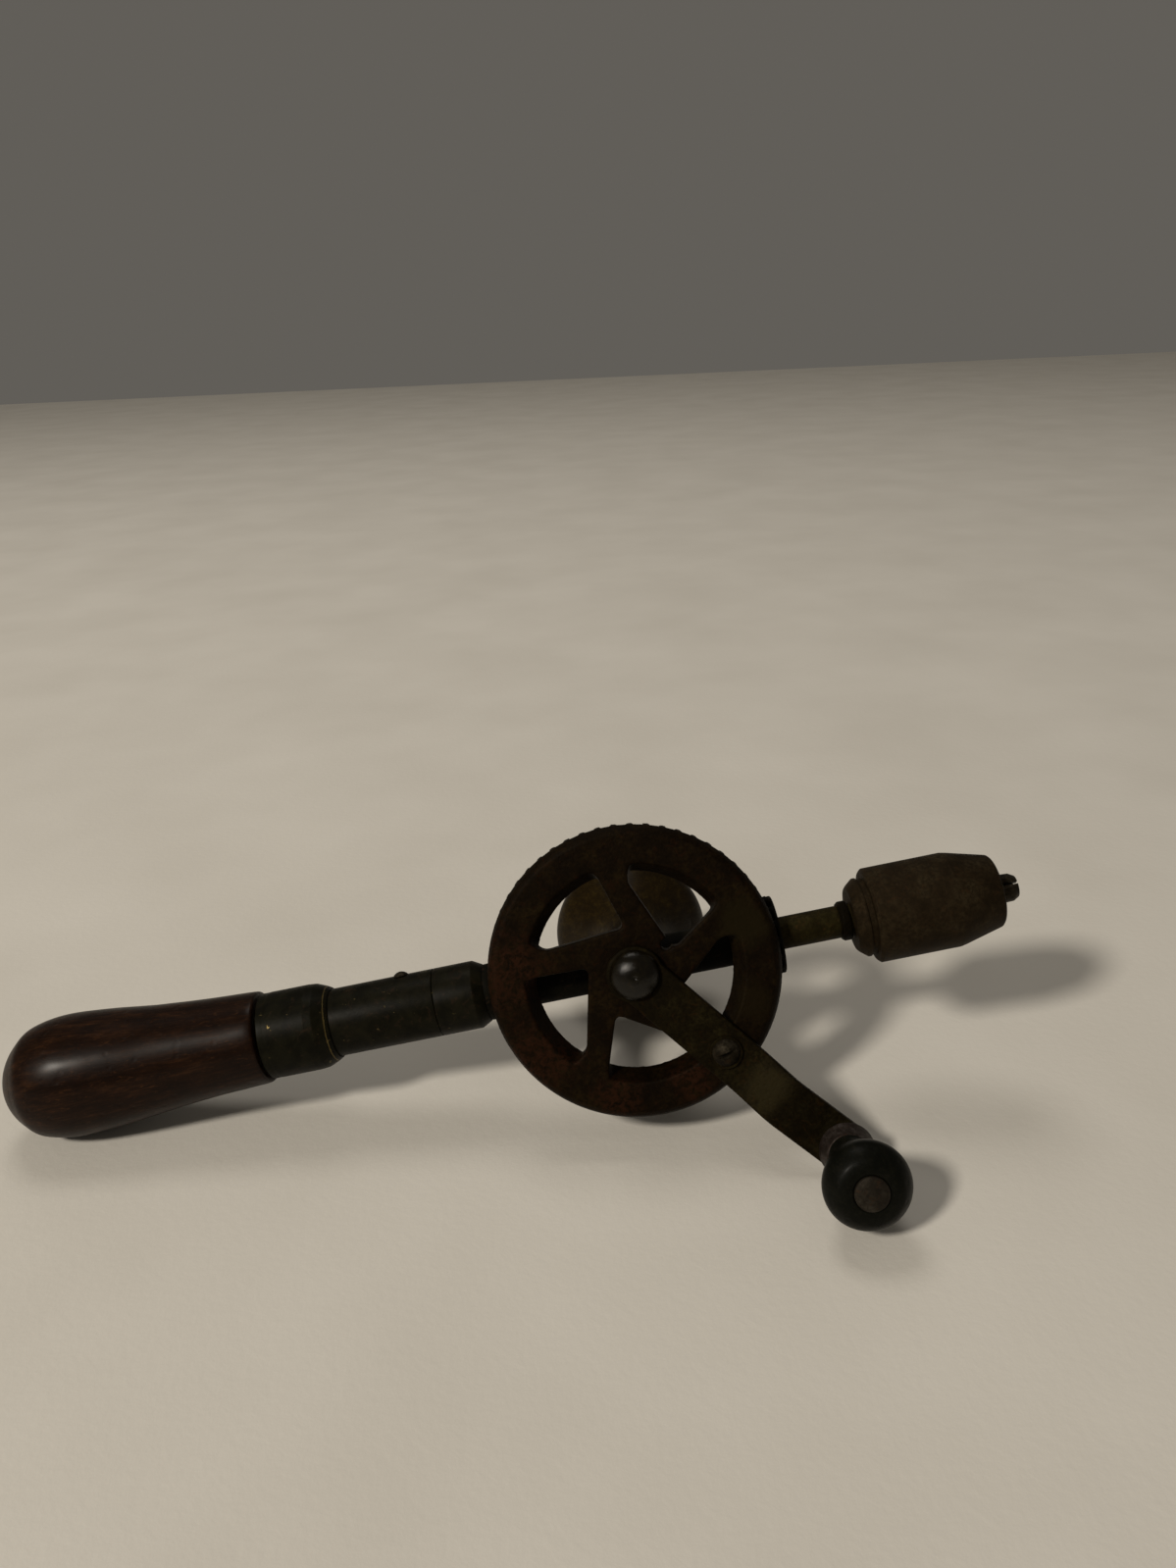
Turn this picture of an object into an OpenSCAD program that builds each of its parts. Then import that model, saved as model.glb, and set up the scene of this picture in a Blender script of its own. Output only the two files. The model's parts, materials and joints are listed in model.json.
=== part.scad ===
// Hand drill of the eggbeater type: a crank wheel drives a spindle with a three-jaw chuck
// through a pair of bevel gears. It lies on a flat surface on its side knob, the end of its
// crank arm and the butt of its handle.
//
// Every module is drawn in the drill's own frame and as_laid() then lays it down:
// the gears' common apex is the origin, +X runs along the spindle towards the chuck,
// the crank wheel faces -Y, and +Z is up. On the wheel's side, "front" is measured from
// the spindle axis towards -Y. Lengths are millimetres, angles are degrees.

/* [Gears] */
// Module of the bevel teeth at their outer end
gear_module = 1.5; // [1.4:0.05:1.6]
// Teeth of the crank wheel
wheel_teeth = 56; // [48:4:60]
// Teeth of the spindle pinion
pinion_teeth = 14; // [12:1:15]
// Length of a tooth along the pitch cone
tooth_face = 11; // [8:0.5:12]
// Play between the flanks at the outer end
gear_backlash = 0.24; // [0.15:0.01:0.4]

/* [Crank wheel] */
// Distance of the wheel's front face from the spindle axis
wheel_front = 16; // [15.5:0.1:17]
// Radius of the wheel's front edge
wheel_front_r = 40.4; // [39:0.1:41]
// Inner radius of the rim
rim_inner_r = 28.2; // [26:0.1:29]
// Number of spokes
spoke_count = 5; // [5:1:6]
// Thickness of the spokes and the hub plate
web_t = 4.8; // [4:0.1:5.5]
// Radius of the stud that the wheel turns on
stud_r = 4.93; // [4:0.01:5.5]

/* [Crank] */
// Direction of the crank arm, from the spindle's direction
crank_angle = -51.7; // [-60:0.1:-45]
// Width of the arm
arm_w = 14.2; // [12:0.1:16]
// Thickness of the arm
arm_t = 2.9; // [2:0.1:3.5]
// Distance from the hub to the step where the arm rises off the wheel
arm_step_s = 41.5; // [41:0.1:46]
// Length of the step, along the arm
arm_step_l = 12; // [8:0.1:16]
// Height of the step, away from the wheel
arm_step_h = 4; // [2:0.1:6]
// Turn of the arm's outer part in its own plane
arm_swing = 3.4; // [0:0.1:5]
// Distance from the hub to the crank knob, along the arm
knob_s = 75.4; // [70:0.1:90]
// Largest radius of the crank knob
crank_knob_r = 11.6; // [10:0.1:14]
// Length of the crank knob
crank_knob_l = 27.2; // [25:0.1:30]

/* [Frame] */
// Radius of the frame's round bar behind the wheel
bar_r = 6.5; // [6.3:0.1:8]
// Front end of the bar, where the pinion starts
bar_front = 31.2; // [30:0.1:31.5]
// Radius of the neck in front of the barrel
neck_r = 8.3; // [8.2:0.1:9]
// Radius of the barrel
barrel_r = 10; // [9.5:0.1:11]
// Rear end of the barrel, behind the wheel's axis
barrel_rear = 89.9; // [85:0.1:95]

/* [Handle] */
// Distance of the butt from the wheel's axis
handle_end = 191; // [185:0.5:200]
// Distance of the wood's front end from the wheel's axis
handle_start = 111.4; // [110:0.1:113]
// Largest radius of the wood
handle_r = 18.3; // [17:0.1:20]
// Radius of the ferrule
ferrule_r = 12.7; // [12:0.1:13.5]

/* [Side knob] */
// Largest radius of the side knob
side_knob_r = 25.5; // [22:0.1:28]
// Distance of the side knob's far end from the spindle axis
side_knob_end = 66.5; // [60:0.1:70]

/* [Spindle and chuck] */
// Radius of the spindle in front of the pinion
spindle_r = 4.75; // [4.5:0.05:5]
// Radius of the chuck's shell
shell_r = 14; // [13.9:0.1:15]
// Rear edge of the shell, in front of the wheel's axis
shell_rear = 70.3; // [69.8:0.1:71]
// Length of the shell
shell_l = 37.4; // [37:0.1:38]
// Radius of the bore that the closed jaws leave at rest
jaw_bore_r = 1.6; // [1.2:0.1:2]
// Thickness of a jaw
jaw_t = 5.2; // [4:0.1:5.4]

/* [Lying position] */
// Roll of the drill about its own axis, the side knob down
lay_roll = -21.47; // [-30:0.01:0]
// Pitch of the drill, the handle down
lay_pitch = -9.07; // [-15:0.01:0]
// Height of the gears' apex above the surface
lay_height = 45.21; // [0:0.01:90]
// Place of the gears' apex along the surface, lengthwise
lay_x = 37.79; // [-100:0.01:100]
// Place of the gears' apex along the surface, crosswise
lay_y = 3.82; // [-100:0.01:100]

/* [Hidden] */
$fn = 96;

// bevel gears: pitch radii, pitch cones and tooth heights
wheel_pr = gear_module * wheel_teeth / 2;
pinion_pr = gear_module * pinion_teeth / 2;
pinion_cone = atan(pinion_pr / wheel_pr);
cone_l = norm([wheel_pr, pinion_pr]);
face_scale = (cone_l - tooth_face) / cone_l;
pressure_angle = 20;
wheel_addendum = 0.53 * gear_module;
pinion_addendum = 0.8 * gear_module;
tooth_gap = 0.23 * gear_module;
wheel_dedendum = pinion_addendum + tooth_gap;
pinion_dedendum = wheel_addendum + tooth_gap;
tooth_half = (PI * gear_module - gear_backlash) / 4;

// crank wheel, measured forward from the spindle axis
web_back = wheel_front - web_t;
hub_back = 7.6;
hub_r = 9;
boss_front = 6.6;
rim_edge_round = 0.9;
wheel_bore_r = stud_r + 0.07;
spoke_low = 3.9;
spoke_high = 10.4;
spoke_high_hub = 12.2;
window_corner = 2;
window_inner_corner = 1.6;
hub_hole_at = [10.4, 6.1];
hub_hole_r = 1.6;

// crank arm
arm_back = wheel_front + 0.05;
arm_front = arm_back + arm_t;
arm_hub_r = 8;
arm_outer_s = arm_step_s + arm_step_l;
arm_end_s = knob_s + 4.4;
arm_corner = 3.6;
rim_screw_s = 33.4;
rim_screw_r = 1.95;
rim_screw_head_r = 3.9;
rim_washer_t = 0.8;
rivet_r = 2.3;
rivet_head_r = 4.5;
collar_t = 5.2;
collar_r = 7.9;

// barrel, ferrule and handle
shank_r = barrel_r - 2;
seam_x = -58.8;
chamfer_x = -47.2;
neck_x = -44.2;
ferrule_front = -barrel_rear;
ferrule_rear = -handle_start + 0.8;
ferrule_wall = 1.1;
tang_r = 3.95;
barrel_screw_x = -68.5;

// spindle and its bearing
tail_r = 3.6;
bush_r = 5;
bush_rear = 12;
bore_end = 7;
ball_r = 2.5;
pinion_rear = bar_front + 0.3;
pinion_front = 43.3;
pinion_disc_r = 11.4;
groove_x = 22;
groove_w = 3.2;
retaining_screw_r = 1.45;
spindle_end = 82;

// chuck
collar_x = [61.4, 64.3];
body_rear = 65.1;
body_shoulder = 68.6;
body_r = 11.1;
body_end = 100;
body_bore_r = 3.3;
thread_r = 4.6;
spring_pocket_r = 4;
slot_rear = 88;
shell_front = shell_rear + shell_l;
shell_taper_x = shell_rear + 24;
shell_nose_r = 10.7;
nose_hole_r = 6.9;
ring_x = [98.2, 105.8];
ring_front_r = 7.2;
jaw_cone = 24;
jaw_tip_x = 114;
jaw_rear_x = 88.3;
jaw_outer_r = 9.4;
jaw_slit = 0.4;

// ---------- placing ----------

// the drill as it lies
module as_laid() {
    translate([lay_x, lay_y, lay_height]) rotate([lay_roll, lay_pitch, 0]) children();
}

// local z becomes the spindle's direction
module along_spindle() {
    rotate([0, 90, 0]) children();
}

// local x and y become the wheel's plane, and local z points to the front
module facing_front() {
    rotate([90, 0, 0]) children();
}

// local z points to the back, where the side knob is
module facing_back() {
    rotate([-90, 0, 0]) children();
}

// local x runs out along the crank arm
module along_arm() {
    facing_front() rotate([0, 0, crank_angle]) children();
}

// local x runs out along the arm's outer part, which is turned beyond the step
module along_outer_arm() {
    translate([arm_outer_s, 0, 0]) rotate([0, 0, arm_swing]) translate([-arm_outer_s, 0, 0])
        children();
}

// local z is the crank knob's axis, and z = 0 is the front of the arm's outer part
module at_knob() {
    along_arm() along_outer_arm() translate([knob_s, 0, arm_front + arm_step_h]) children();
}

// ---------- shared shapes ----------

// smooth curve through points: each stretch has the given number of steps
function curve_point(p0, p1, p2, p3, t) =
    0.5 * (2 * p1 + (p2 - p0) * t + (2 * p0 - 5 * p1 + 4 * p2 - p3) * t * t
        + (3 * p1 - p0 - 3 * p2 + p3) * t * t * t);

function curve(pts, steps = 4) = let (last = len(pts) - 1) [
    for (i = [0 : last - 1]) for (s = [0 : steps - 1])
        curve_point(pts[max(i - 1, 0)], pts[i], pts[i + 1], pts[min(i + 2, last)], s / steps),
    pts[last]
];

function turned(p, a) = [p.x * cos(a) - p.y * sin(a), p.x * sin(a) + p.y * cos(a)];

// tube or washer along local z
module ring(outer_r, inner_r, z0, z1) {
    translate([0, 0, z0]) difference() {
        cylinder(r = outer_r, h = z1 - z0);
        translate([0, 0, -1]) cylinder(r = inner_r, h = z1 - z0 + 2);
    }
}

// round rod along local z
module rod(r, z0, z1) {
    translate([0, 0, z0]) cylinder(r = r, h = z1 - z0);
}

// low dome of a screw head on local z = 0, with a slot of the given width
module slotted_dome(r, h, slot_w) {
    ball = (r * r + h * h) / (2 * h);
    difference() {
        intersection() {
            translate([0, 0, h - ball]) sphere(r = ball);
            cylinder(r = r, h = h + 1);
        }
        translate([-r - 1, -slot_w / 2, h * 0.5]) cube([2 * r + 2, slot_w, h]);
    }
}

// ---------- frame ----------

module main_frame() {
    color([0.09, 0.09, 0.08]) as_laid() difference() {
        union() {
            along_spindle() rotate_extrude() polygon([
                [0, -86], [shank_r, -86], [shank_r, neck_x], [neck_r, neck_x],
                [neck_r, -41], [bar_r + 0.4, -37.6], [bar_r, -36], [bar_r, bar_front],
                [0, bar_front]
            ]);
            facing_front() rod(hub_r, -11, boss_front);
        }
        // seat of the handle's tang
        along_spindle() rod(tang_r + 0.05, -90, -62);
        // seat of the bush, and the pocket of the thrust ball
        along_spindle() rod(bush_r, bush_rear, bar_front + 1);
        along_spindle() rod(tail_r + 0.1, bore_end, bush_rear + 1);
        // one threaded hole takes the wheel's stud in front and the side knob's at the back
        facing_front() rod(4, -12, boss_front + 1);
        // retaining screw
        translate([groove_x, 0, 0]) facing_back() rod(retaining_screw_r + 0.05, 2, 8);
        // barrel screw
        translate([barrel_screw_x, 0, 0]) rod(1.5, 4.5, 12);
    }
}

module barrel_tube() {
    color([0.13, 0.14, 0.11]) as_laid() difference() {
        along_spindle() ring(barrel_r, shank_r + 0.05, -barrel_rear - 2, seam_x - 0.1);
        translate([barrel_screw_x, 0, 0]) rod(1.5, 4.5, 12);
    }
}

module front_sleeve() {
    color([0.13, 0.14, 0.11]) as_laid() along_spindle() rotate_extrude() polygon([
        [shank_r + 0.05, seam_x], [barrel_r, seam_x], [barrel_r, chamfer_x],
        [neck_r + 0.1, neck_x - 0.05], [shank_r + 0.05, neck_x - 0.05]
    ]);
}

module barrel_screw() {
    color([0.3, 0.29, 0.24]) as_laid() translate([barrel_screw_x, 0, 0]) {
        rod(1.45, 4.8, barrel_r + 0.1);
        translate([0, 0, barrel_r + 0.02]) rotate([0, 0, 35]) slotted_dome(2.2, 1.1, 0.5);
    }
}

// ---------- handle ----------

module handle_tang() {
    color([0.35, 0.33, 0.3]) as_laid() along_spindle() rod(tang_r, -165, -63);
}

module handle_ferrule() {
    inner_r = ferrule_r - ferrule_wall;
    color([0.14, 0.15, 0.12]) as_laid() along_spindle() rotate_extrude() polygon([
        [inner_r, ferrule_rear], [ferrule_r, ferrule_rear],
        for (a = [0 : 15 : 90]) [
            barrel_r + 0.4 + (ferrule_r - barrel_r - 0.4) * cos(a),
            ferrule_front - 4.2 + 4.2 * sin(a)
        ],
        [barrel_r + 0.05, ferrule_front], [barrel_r + 0.05, ferrule_front - 1.5],
        [inner_r, ferrule_front - 4.2]
    ]);
}

module wood_handle() {
    grip = [
        [0, -handle_end], [5, -handle_end + 0.9], [9.9, -handle_end + 3.4],
        [13.9, -handle_end + 7.1], [16.8, -handle_end + 11.6],
        [handle_r, -handle_end + 21], [17.3, -155.6], [15.7, -141.3], [14.4, -125],
        [13.8, -handle_start - 1.5]
    ];
    color([0.22, 0.1, 0.05]) as_laid() difference() {
        along_spindle() rotate_extrude() polygon(concat(curve(grip), [
            [13.3, -handle_start - 0.4], [12.6, -handle_start],
            [ferrule_r - ferrule_wall - 0.05, -handle_start],
            [ferrule_r - ferrule_wall - 0.05, ferrule_front - 4.6],
            [0, ferrule_front - 4.6]
        ]));
        along_spindle() rod(tang_r + 0.05, -166, -80);
    }
}

// ---------- wheel bearing and side knob ----------

module wheel_stud() {
    head_r = 7.1;
    head_h = 4.2;
    ball = (head_r * head_r + head_h * head_h) / (2 * head_h);
    color([0.2, 0.19, 0.14]) as_laid() facing_front() difference() {
        union() {
            rod(3.95, -1, boss_front + 0.1);
            rod(stud_r, boss_front + 0.05, arm_front + 0.2);
            translate([0, 0, arm_front + 0.15]) intersection() {
                translate([0, 0, head_h - ball]) sphere(r = ball);
                cylinder(r = head_r, h = head_h);
            }
        }
        translate([0, 0, arm_front + head_h - 0.2]) cylinder(r1 = 0.1, r2 = 0.7, h = 0.6);
    }
}

module hub_washer() {
    color([0.3, 0.28, 0.22]) as_laid() facing_front()
        ring(8.6, stud_r + 0.1, boss_front + 0.05, hub_back - 0.15);
}

module side_knob_washer() {
    color([0.3, 0.28, 0.22]) as_laid() facing_back() ring(9.5, 4.05, 11.05, 12.5);
}

module side_knob_stud() {
    color([0.3, 0.28, 0.22]) as_laid() facing_back() {
        rod(3.95, 1.5, side_knob_end - 3);
        translate([0, 0, side_knob_end - 3.1]) slotted_dome(6, 2.6, 1.2);
    }
}

module side_knob() {
    e = side_knob_end;
    side = [
        [9, 12.6], [8.4, 17], [8.3, 23], [9.6, 31], [13.6, 40], [19.6, e - 18.5],
        [24, e - 13], [side_knob_r, e - 9], [24.6, e - 5.2], [21, e - 2.4], [15, e - 0.6],
        [8, e]
    ];
    color([0.24, 0.14, 0.08]) as_laid() facing_back() difference() {
        rotate_extrude() polygon(concat([[0, 12.6]], curve(side), [[0, e]]));
        rod(4.05, 10, e + 1);
        rod(6.2, e - 3.2, e + 1);
    }
}

// ---------- bearing of the spindle ----------

module spindle_bush() {
    color([0.6, 0.45, 0.2]) as_laid() difference() {
        along_spindle() ring(bush_r, tail_r + 0.05, bush_rear, bar_front);
        translate([groove_x, 0, 0]) facing_back() rod(retaining_screw_r + 0.05, 2, 8);
    }
}

module thrust_ball() {
    color("silver") as_laid() translate([bore_end + ball_r + 0.05, 0, 0]) sphere(r = ball_r);
}

module retaining_screw() {
    color([0.3, 0.28, 0.22]) as_laid() translate([groove_x, 0, 0]) facing_back() {
        rod(retaining_screw_r, 3.1, bar_r + 0.3);
        translate([0, 0, bar_r + 0.05]) slotted_dome(2.6, 1.6, 0.6);
    }
}

// ---------- crank wheel ----------

// point of a wheel tooth: along is 1 at the outer end, depth is measured from the pitch
// cone towards the pinion, and side is the half thickness there
function tooth_point(along, depth, side) = along * [
    wheel_pr + depth * sin(pinion_cone), side, pinion_pr - depth * cos(pinion_cone)
];

function flank(depth) = tooth_half - depth * tan(pressure_angle);

module wheel_tooth() {
    root = -wheel_dedendum - 0.25;
    section = [[root, 1], [root, -1], [wheel_addendum, -1], [wheel_addendum, 1]];
    polyhedron(
        points = [
            for (along = [face_scale, 1]) for (s = section)
                tooth_point(along, s[0], s[1] * flank(s[0]))
        ],
        faces = [[0, 1, 2, 3], [7, 6, 5, 4], [0, 4, 5, 1], [1, 5, 6, 2], [2, 6, 7, 3],
            [3, 7, 4, 0]]
    );
}

// centre of a fillet of radius f inside the rim, above or below a line y = d
function rim_fillet(f, d) = [-sqrt(pow(rim_inner_r - f, 2) - d * d), d];

// one opening between two spokes: its upper side lies along a spoke's lower edge,
// and its right side along the next spoke's upper edge
module wheel_window() {
    step = 360 / spoke_count;
    taper = atan((spoke_high_hub - spoke_high) / 20);
    f = window_corner;
    g = window_inner_corner;
    // fillet centres: at the rim by the first spoke, at the rim by the next, and at the hub
    a = rim_fillet(f, spoke_low - f);
    b_own = rim_fillet(f, spoke_high + 0.6 + f);
    b = turned(b_own, step);
    edge_dir = turned([-1, 0], step + taper);
    edge_out = turned(edge_dir, -90);
    base = turned([-10, spoke_high_hub], step) + g * edge_out;
    k = (spoke_low - g - base.y) / edge_dir.y;
    c = base + k * edge_dir;
    polygon([
        c + [0, g], a + [0, f], a, b, b - f * edge_out, c - g * edge_out
    ]);
    translate(a) circle(r = f);
    translate(b) circle(r = f);
    translate(c) circle(r = g);
    intersection() {
        circle(r = rim_inner_r);
        polygon([a, 2 * a, 2 * b, b]);
    }
}

module drive_wheel() {
    outer = tooth_point(1, -wheel_dedendum, 0);
    inner = tooth_point(face_scale, -wheel_dedendum, 0);
    color([0.24, 0.16, 0.1]) as_laid() facing_front() difference() {
        union() {
            rotate_extrude() polygon([
                [0, web_back], [rim_inner_r - 0.6, web_back], [rim_inner_r, inner.z + 0.4],
                [inner.x, inner.z], [outer.x, outer.z],
                [wheel_front_r, wheel_front - rim_edge_round],
                [wheel_front_r - 0.3, wheel_front - 0.3],
                [wheel_front_r - rim_edge_round, wheel_front], [0, wheel_front]
            ]);
            rod(hub_r, hub_back, web_back + 1);
            for (i = [0 : wheel_teeth - 1])
                rotate([0, 0, (i + 0.5) * 360 / wheel_teeth]) wheel_tooth();
        }
        for (i = [0 : spoke_count - 1]) rotate([0, 0, i * 360 / spoke_count])
            translate([0, 0, hub_back]) linear_extrude(web_back + web_t) wheel_window();
        rod(wheel_bore_r, 0, wheel_front + 1);
        translate(hub_hole_at) rod(hub_hole_r, 0, wheel_front + 1);
        rotate([0, 0, crank_angle]) translate([rim_screw_s, 0, 0])
            rod(rim_screw_r + 0.05, 0, wheel_front + 1);
    }
}

// ---------- crank ----------

module arm_outline() {
    half = arm_w / 2;
    circle(r = arm_hub_r);
    translate([0, -half]) square([arm_outer_s, arm_w]);
    along_outer_arm() {
        translate([arm_outer_s, 0]) circle(r = half);
        translate([arm_outer_s, -half]) square([arm_end_s - arm_corner - arm_outer_s, arm_w]);
        translate([arm_outer_s, arm_corner - half])
            square([arm_end_s - arm_outer_s, arm_w - 2 * arm_corner]);
        for (side = [-1, 1]) translate([arm_end_s - arm_corner, side * (half - arm_corner)])
            circle(r = arm_corner);
    }
}

module crank_arm() {
    inset = arm_t * tan(atan(arm_step_h / arm_step_l) / 2);
    near = -arm_hub_r - 1;
    far = arm_end_s + 5;
    color([0.25, 0.2, 0.13]) as_laid() {
        along_arm() difference() {
            intersection() {
                linear_extrude(2 * arm_front) arm_outline();
                rotate([90, 0, 0]) linear_extrude(4 * arm_w, center = true) polygon([
                    [near, arm_back], [arm_step_s + inset, arm_back],
                    [arm_outer_s + inset, arm_back + arm_step_h],
                    [far, arm_back + arm_step_h], [far, arm_front + arm_step_h],
                    [arm_outer_s, arm_front + arm_step_h], [arm_step_s, arm_front],
                    [near, arm_front]
                ]);
            }
            rod(wheel_bore_r, 0, arm_front + 1);
            translate([rim_screw_s, 0, 0]) rod(rim_screw_r + 0.05, 0, arm_front + 1);
            along_outer_arm() translate([knob_s, 0, 0])
                rod(rivet_r + 0.05, 0, 2 * arm_front);
        }
    }
}

module rim_screw() {
    color([0.3, 0.26, 0.2]) as_laid() along_arm() translate([rim_screw_s, 0, 0]) {
        rod(rim_screw_r, wheel_front - 6, arm_front + rim_washer_t + 0.2);
        translate([0, 0, arm_front + rim_washer_t + 0.05]) rotate([0, 0, 66])
            slotted_dome(rim_screw_head_r, 2, 0.9);
    }
}

module rim_screw_washer() {
    color([0.28, 0.24, 0.18]) as_laid() along_arm() translate([rim_screw_s, 0, 0])
        ring(4.6, rim_screw_r + 0.05, arm_front, arm_front + rim_washer_t);
}

module knob_rivet() {
    color([0.35, 0.28, 0.2]) as_laid() at_knob() {
        rod(rivet_r, -arm_t - 0.5, crank_knob_l + collar_t);
        rod(3.6, -arm_t - 1.4, -arm_t - 0.02);
        translate([0, 0, crank_knob_l + collar_t]) rotate_extrude() polygon([
            [0, -0.8], [rivet_head_r, -0.8], [rivet_head_r, 0.2], [rivet_head_r - 0.5, 0.6],
            [0, 0.9]
        ]);
    }
}

module knob_collar() {
    color([0.28, 0.2, 0.14]) as_laid() at_knob() difference() {
        cylinder(r1 = collar_r, r2 = collar_r - 1.6, h = collar_t);
        rod(rivet_r + 0.05, -1, collar_t + 1);
    }
}

module crank_knob() {
    l = crank_knob_l;
    r = crank_knob_r;
    side = [
        [6, 0.1], [5.7, 1.8], [5.9, 4.2], [7, 8], [8.9, 12.5], [10.8, l - 10],
        [r, l - 6.4], [r - 0.7, l - 3.7], [r - 2.7, l - 1.3], [r - 5.2, l - 0.3]
    ];
    color([0.1, 0.11, 0.1]) as_laid() at_knob() translate([0, 0, collar_t]) difference() {
        rotate_extrude() polygon(concat([[0, 0.1]], curve(side), [[0, l - 0.3]]));
        rod(rivet_r + 0.06, -1, l + 1);
        rod(rivet_head_r + 0.15, l - 1.1, l + 1);
    }
}

// ---------- spindle ----------

module spindle() {
    color([0.28, 0.24, 0.16]) as_laid() difference() {
        along_spindle() rotate_extrude() polygon([
            [0, bush_rear + 0.15], [tail_r - 0.5, bush_rear + 0.15],
            [tail_r, bush_rear + 0.65],
            [tail_r, groove_x - groove_w / 2], [2.9, groove_x - groove_w / 2],
            [2.9, groove_x + groove_w / 2], [tail_r, groove_x + groove_w / 2],
            [tail_r, pinion_rear - 0.1], [4, pinion_rear - 0.1], [4, pinion_front + 0.05],
            [spindle_r, pinion_front + 0.05], [spindle_r, collar_x[0] - 0.2],
            [thread_r, collar_x[0] - 0.2], [thread_r, spindle_end], [0, spindle_end]
        ]);
        translate([pinion_rear + 3, 0, 0]) rod(1.02, -10, 10);
    }
}

// involute: point at roll angle a on a base circle of radius 1
function involute(a) = [cos(a) + a * PI / 180 * sin(a), sin(a) - a * PI / 180 * cos(a)];

// outline of the pinion at its outer end; heights are stretched to the flat end plane
module pinion_outline() {
    stretch = 1 / cos(pinion_cone);
    base_r = pinion_pr * cos(pressure_angle);
    tip_r = pinion_pr + pinion_addendum * stretch;
    root_r = pinion_pr - pinion_dedendum * stretch;
    tip_roll = sqrt(pow(tip_r / base_r, 2) - 1) * 180 / PI;
    pitch_roll = tan(pressure_angle) * 180 / PI;
    // half angle of a tooth at the base circle
    half = tooth_half / pinion_pr * 180 / PI + pitch_roll - pressure_angle;
    steps = 5;
    side = [for (i = [0 : steps]) base_r * turned(involute(tip_roll * i / steps), -half)];
    circle(r = root_r);
    for (i = [0 : pinion_teeth - 1]) rotate(i * 360 / pinion_teeth) polygon(concat(
        [[root_r - 0.6, -base_r * sin(half)]], side,
        [for (k = [steps : -1 : 0]) [side[k].x, -side[k].y]],
        [[root_r - 0.6, base_r * sin(half)]]
    ));
}

module drive_pinion() {
    small = pinion_rear / wheel_pr;
    color([0.12, 0.12, 0.1]) as_laid() difference() {
        union() {
            // turned about so that the outline shrinks towards the apex
            translate([wheel_pr, 0, 0]) rotate([0, -90, 0])
                rotate([0, 0, -90]) linear_extrude(wheel_pr - pinion_rear, scale = small)
                    pinion_outline();
            along_spindle() rod(pinion_pr - pinion_dedendum, wheel_pr - 0.1, pinion_front);
            along_spindle() rod(pinion_disc_r, wheel_pr + 0.4, pinion_front);
        }
        along_spindle() rod(4.02, pinion_rear - 1, pinion_front + 1);
        translate([pinion_rear + 3, 0, 0]) rod(1, -7, 7);
    }
}

module pinion_pin() {
    color("silver") as_laid() translate([pinion_rear + 3, 0, 0]) rod(0.98, -6.8, 6.8);
}

module spindle_collar() {
    color([0.28, 0.24, 0.16]) as_laid() along_spindle() rotate_extrude() polygon([
        [thread_r + 0.05, collar_x[0]], [5.2, collar_x[0]], [5.8, collar_x[0] + 0.8],
        [5.8, collar_x[1]], [thread_r + 0.05, collar_x[1]]
    ]);
}

// ---------- chuck ----------

// the three jaws stand at equal angles, the first one upwards
module at_jaw(i) {
    rotate([120 * i, 0, 0]) children();
}

module chuck_body() {
    color([0.3, 0.2, 0.13]) as_laid() difference() {
        along_spindle() rotate_extrude() polygon([
            [0, body_rear], [9.2, body_rear], [9.9, body_rear + 0.6],
            [11.6, body_shoulder - 0.8], [11.6, body_shoulder], [body_r, body_shoulder],
            [body_r, body_end - 4], [9, body_end], [0, body_end]
        ]);
        along_spindle() rod(thread_r + 0.05, body_rear - 1, spindle_end + 0.5);
        along_spindle() rod(spring_pocket_r, spindle_end, jaw_rear_x + 0.1);
        along_spindle() rod(body_bore_r, slot_rear, body_end + 1);
        for (i = [0 : 2]) at_jaw(i) translate([slot_rear, -jaw_t / 2 - 0.15, 0])
            cube([body_end, jaw_t + 0.3, 2 * body_r]);
    }
}

// coil spring between the spindle's end and the jaws' tails, which opens the jaws
module jaw_spring() {
    coil_r = 3.4;
    wire_r = 0.4;
    coils = 4;
    per_coil = 16;
    sides = 8;
    first = spindle_end + 0.05 + wire_r;
    last = jaw_rear_x - 0.05 - wire_r;
    rings = coils * per_coil;
    points = [
        for (i = [0 : rings]) let (a = i * 360 / per_coil) for (j = [0 : sides - 1])
            let (b = j * 360 / sides, r = coil_r + wire_r * cos(b))
                [r * cos(a), r * sin(a), first + (last - first) * i / rings + wire_r * sin(b)]
    ];
    faces = concat(
        [[for (j = [sides - 1 : -1 : 0]) j]],
        [for (i = [0 : rings - 1]) for (j = [0 : sides - 1]) let (n = (j + 1) % sides)
            [i * sides + j, i * sides + n, (i + 1) * sides + n, (i + 1) * sides + j]],
        [[for (j = [0 : sides - 1]) rings * sides + j]]
    );
    color("silver") as_laid() along_spindle() polyhedron(points = points, faces = faces);
}

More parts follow.
